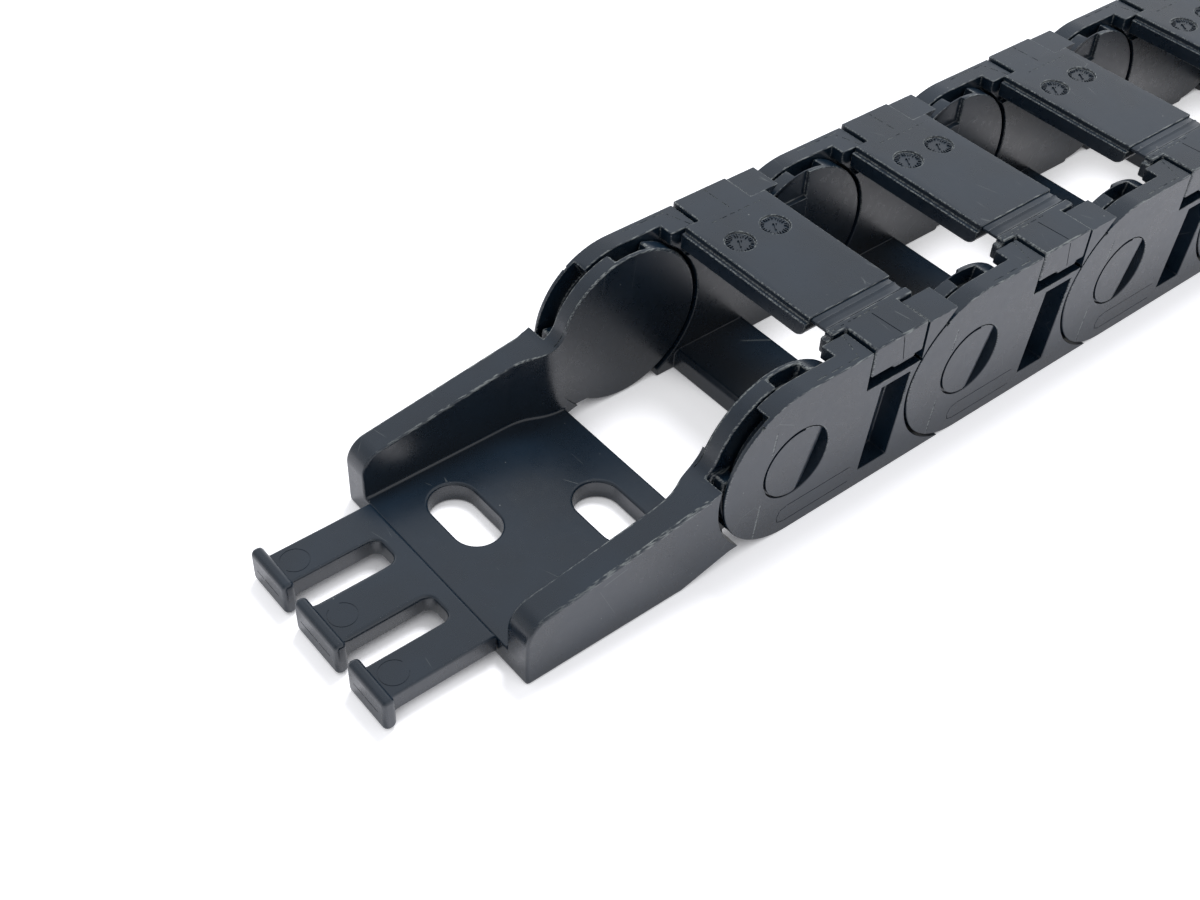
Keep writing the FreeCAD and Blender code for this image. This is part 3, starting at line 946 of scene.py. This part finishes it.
class DRAGCHAIN_OT_hinge_blocks(bpy.types.Operator):
    """Dress the hinge blocks of all links"""
    bl_idname = "dragchain.hinge_blocks"
    bl_label = "Hinge Blocks"

    def execute(self, context):
        along_chain(dress_hinge_block(), "link_%d_hinge_end", "link_%d", "link_%d_hinge_block")
        return {"FINISHED"}


class DRAGCHAIN_OT_crossbars(bpy.types.Operator):
    """Dress the opening crossbars"""
    bl_idname = "dragchain.crossbars"
    bl_label = "Crossbars"

    def execute(self, context):
        along_chain(dress_crossbar(), "crossbar_%d_moulding", "crossbar_%d", "link_%d_crossbar")
        return {"FINISHED"}


class DRAGCHAIN_OT_film_hinges(bpy.types.Operator):
    """Make the film hinges, which bend between a link and its crossbar"""
    bl_idname = "dragchain.film_hinges"
    bl_label = "Film Hinges"

    def execute(self, context):
        model = dress_film_hinge()
        for number in range(1, link_count + 1):
            mesh = model.copy()
            mesh.transform(Matrix.Translation((pitch * (number - 1), 0, 0)))
            mesh.transform(Matrix.Scale(MM, 4))
            mesh.polygons.foreach_set("use_smooth", [True] * len(mesh.polygons))
            mesh.set_sharp_from_angle(angle=shading_turn)
            piece = linked("link_%d_film_strip" % number, mesh)
            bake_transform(piece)
            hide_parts("link_%d_film_hinge" % number)
        bpy.data.meshes.remove(model)
        return {"FINISHED"}


class DRAGCHAIN_OT_brackets(bpy.types.Operator):
    """Dress the two mounting brackets"""
    bl_idname = "dragchain.brackets"
    bl_label = "Mounting Brackets"

    def execute(self, context):
        ends = (("fixed_end", "fixed_bracket", True), ("moving_end", "moving_bracket", False))
        for body, node, has_bosses in ends:
            handed_over(dress_bracket(node + "_moulding", node, has_bosses), body, node)
        return {"FINISHED"}


class DRAGCHAIN_OT_combs(bpy.types.Operator):
    """Dress the two strain relief combs"""
    bl_idname = "dragchain.combs"
    bl_label = "Strain Relief Combs"

    def execute(self, context):
        ends = (
            ("fixed_end", "fixed_bracket_comb", first_pivot, -1),
            ("moving_end", "moving_bracket_comb", first_pivot + pitch * link_count, 1),
        )
        for body, node, pivot, sign in ends:
            handed_over(dress_comb(node + "_moulding", node, pivot, sign), body, node)
        return {"FINISHED"}


class DRAGCHAIN_OT_studio(bpy.types.Operator):
    """Make the floor, the lights and the camera"""
    bl_idname = "dragchain.studio"
    bl_label = "Studio"

    def execute(self, context):
        make_floor(context)
        make_world(context)
        make_lights()
        make_camera(context)
        context.scene.view_settings.view_transform = "Standard"
        return {"FINISHED"}


# Studio

# The camera's place and turn, measured from the photograph, in the row frame
camera_place = Vector((-195.59, -102.0, 140.97))
camera_heading = math.radians(48.83)
camera_dip = math.radians(44.47)
camera_roll = math.radians(3.01)
camera_lens = 47.31


def seen_by_eye(graph):
    """1 for rays that show a background: from the camera, or off gloss and through glass."""
    names = ("Is Camera Ray", "Is Glossy Ray", "Is Transmission Ray")
    rays = [graph.add("ShaderNodeLightPath", output=name) for name in names]
    return rays[0].either(rays[1]).either(rays[2])


def make_floor(context):
    """A plain pale floor that keeps the object's shadow, with a painted contact shadow: its glow is
    dimmed where the object is close.
    """
    half = context.scene.chain_sizes.floor_size / 2.0
    level = -0.05 * MM
    shade_reach = 12.0 * MM
    mesh = bpy.data.meshes.new("floor")
    mesh.from_pydata(
        [(-half, -half, level), (half, -half, level), (half, half, level), (-half, half, level)],
        [], [(0, 1, 2, 3)])
    material = bpy.data.materials.new("pale_floor")
    graph = Graph(material)
    lit = graph.add(
        "ShaderNodeBsdfDiffuse", {}, {"Color": rgba(context.scene.chain_colours.floor)})
    camera = graph.add("ShaderNodeLightPath", output="Is Camera Ray")
    open_sky = graph.add(
        "ShaderNodeAmbientOcclusion", {"samples": 8}, {"Distance": shade_reach}, output="AO")
    gloss_glow, camera_glow = 0.25, 0.55
    # Painted contact shadow: the camera's glow fades where the object is near
    shaded_glow = graph.step(open_sky, 0.0, 0.6) * camera_glow
    white = seen_by_eye(graph) * gloss_glow + camera * (shaded_glow - gloss_glow)
    glow = graph.add("ShaderNodeEmission", {}, {"Color": white, "Strength": 1.0})
    both = graph.add("ShaderNodeAddShader", {}, {0: lit, 1: glow})
    graph.add("ShaderNodeOutputMaterial", {}, {"Surface": both})
    mesh.materials.append(material)
    linked("studio_floor", mesh)


def make_world(context):
    """A white surround, weaker where it lights. Gloss sees it dimmer overhead and to the left."""
    world = bpy.data.worlds.new("studio_surround")
    context.scene.world = world
    graph = Graph(world)
    direction = graph.add("ShaderNodeTexCoord", output="Generated")
    upward = graph.add("ShaderNodeSeparateXYZ", {}, {"Vector": direction}, output="Z")
    forward = graph.add("ShaderNodeSeparateXYZ", {}, {"Vector": direction}, output="X")
    gloss = graph.add("ShaderNodeLightPath", output="Is Glossy Ray")
    seen, lighting, overhead_dim, left_dim = 1.0, 0.62, 0.34, 0.4
    dim = (graph.step(upward, 0.25, 0.8) * overhead_dim
           + (1.0 - graph.step(forward, -0.8, 0.0)) * left_dim)
    strength = lighting + seen_by_eye(graph) * (seen - lighting) - gloss * dim
    surround = graph.add(
        "ShaderNodeBackground", {}, {"Color": (0.97, 0.98, 1.0, 1.0), "Strength": strength})
    graph.add("ShaderNodeOutputWorld", {}, {"Surface": surround})


def area_light(name, place, target, size, power):
    light = bpy.data.lights.new(name, "AREA")
    light.shape = "DISK"
    light.size = size
    light.energy = power
    lamp = bpy.data.objects.new(name, light)
    bpy.context.scene.collection.objects.link(lamp)
    lamp.location = place
    lamp.visible_glossy = False
    lamp.rotation_euler = (Vector(target) - Vector(place)).to_track_quat("-Z", "Y").to_euler()


def make_lights():
    """A soft box high above, a little behind the chain as the camera sees it."""
    area_light(
        "key_light", place=(0.30, 0.22, 1.0), target=(-0.05, 0.0, 0.01), size=0.35, power=9.0)


def make_camera(context):
    """The camera at the photograph's viewing angle."""
    data = bpy.data.cameras.new("camera")
    data.lens = camera_lens
    data.sensor_width = 36.0
    data.clip_start = 0.005
    camera = bpy.data.objects.new("camera", data)
    context.scene.collection.objects.link(camera)
    ahead = Vector((
        math.cos(camera_dip) * math.cos(camera_heading),
        math.cos(camera_dip) * math.sin(camera_heading),
        -math.sin(camera_dip)))
    level = Vector((math.sin(camera_heading), -math.cos(camera_heading), 0.0))
    upright = level.cross(ahead)
    right = math.cos(camera_roll) * level + math.sin(camera_roll) * upright
    up = -math.sin(camera_roll) * level + math.cos(camera_roll) * upright
    turn = Matrix((right, up, -ahead)).transposed().to_4x4()
    camera.matrix_world = Matrix.Translation(camera_place * MM) @ turn
    context.scene.camera = camera


# Panel and script


class DRAGCHAIN_PT_panel(bpy.types.Panel):
    """The sidebar panel with the operators, the sizes and the colours"""
    bl_idname = "DRAGCHAIN_PT_panel"
    bl_label = "Cable Drag Chain"
    bl_space_type = "VIEW_3D"
    bl_region_type = "UI"
    bl_category = "Drag Chain"

    def draw(self, context):
        for operator in OPERATORS:
            self.layout.operator(operator.bl_idname)
        for group in (context.scene.chain_sizes, context.scene.chain_colours):
            for name in group.__annotations__:
                self.layout.prop(group, name)


OPERATORS = (
    DRAGCHAIN_OT_link_bodies,
    DRAGCHAIN_OT_hinge_blocks,
    DRAGCHAIN_OT_crossbars,
    DRAGCHAIN_OT_film_hinges,
    DRAGCHAIN_OT_brackets,
    DRAGCHAIN_OT_combs,
    DRAGCHAIN_OT_studio,
)
CLASSES = (ChainSizes, ChainColours, DRAGCHAIN_PT_panel, *OPERATORS)


def register():
    for kind in CLASSES:
        bpy.utils.register_class(kind)
    bpy.types.Scene.chain_sizes = PointerProperty(type=ChainSizes)
    bpy.types.Scene.chain_colours = PointerProperty(type=ChainColours)


def unregister():
    del bpy.types.Scene.chain_colours
    del bpy.types.Scene.chain_sizes
    for kind in reversed(CLASSES):
        bpy.utils.unregister_class(kind)


def main():
    register()
    for operator in OPERATORS:
        group, name = operator.bl_idname.split(".")
        getattr(getattr(bpy.ops, group), name)()


if __name__ == "__main__":
    main()
